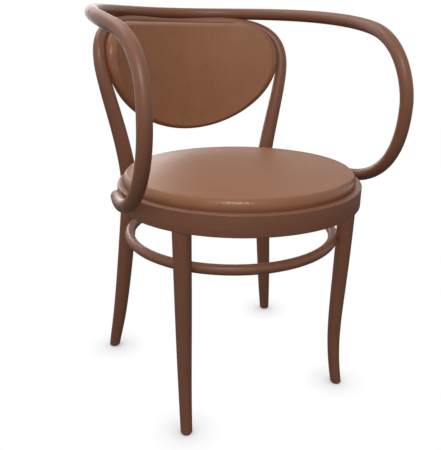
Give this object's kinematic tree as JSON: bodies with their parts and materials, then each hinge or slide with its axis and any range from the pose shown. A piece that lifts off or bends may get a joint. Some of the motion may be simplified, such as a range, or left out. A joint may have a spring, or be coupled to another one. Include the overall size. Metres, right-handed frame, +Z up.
{
  "type": "bentwood armchair",
  "caption": "Bentwood dining armchair with a round seat ring, a leg ring, a bent arm rail over the back hoop, and leather seat and back pads.",
  "frame": {"origin": "on the floor, under the middle of the chair's box", "axes": "+Z up, the chair faces -Y, +X to the right as seen from the front"},
  "size_m": [0.5301, 0.569, 0.758],
  "materials": {
    "stained_beech": "satin reddish brown stain",
    "raw_beech": "bare",
    "plywood": "bare",
    "stained_plywood": "satin reddish brown stain",
    "foam": "open-cell foam",
    "brown_leather": "satin, finely grained",
    "steel": "plain",
    "nylon": "black"
  },
  "bodies": {
    "root": {"back_hoop": "stained_beech", "back_rail": "stained_beech", "left_arm": "stained_beech", "right_arm": "stained_beech", "left_splice_dowel": "raw_beech", "right_splice_dowel": "raw_beech", "seat_ring": "stained_beech", "left_front_leg": "stained_beech", "right_front_leg": "stained_beech", "leg_ring": "stained_beech", "seat_board": "plywood", "seat_foam": "foam", "seat_cover": "brown_leather", "back_board": "stained_plywood", "back_foam": "foam", "back_cover": "brown_leather", "left_arm_screw": "steel", "right_arm_screw": "steel", "left_rail_screw": "steel", "right_rail_screw": "steel", "left_rear_bolt": "steel", "right_rear_bolt": "steel", "left_front_ring_screw": "steel", "right_front_ring_screw": "steel", "left_rear_ring_screw": "steel", "right_rear_ring_screw": "steel", "seat_screw_1": "steel", "seat_screw_2": "steel", "seat_screw_3": "steel", "seat_screw_4": "steel", "back_screw_1": "steel", "back_screw_2": "steel", "back_screw_3": "steel", "back_screw_4": "steel", "left_front_glide": "nylon", "right_front_glide": "nylon", "left_rear_glide": "nylon", "right_rear_glide": "nylon"}
  },
  "joints": []
}
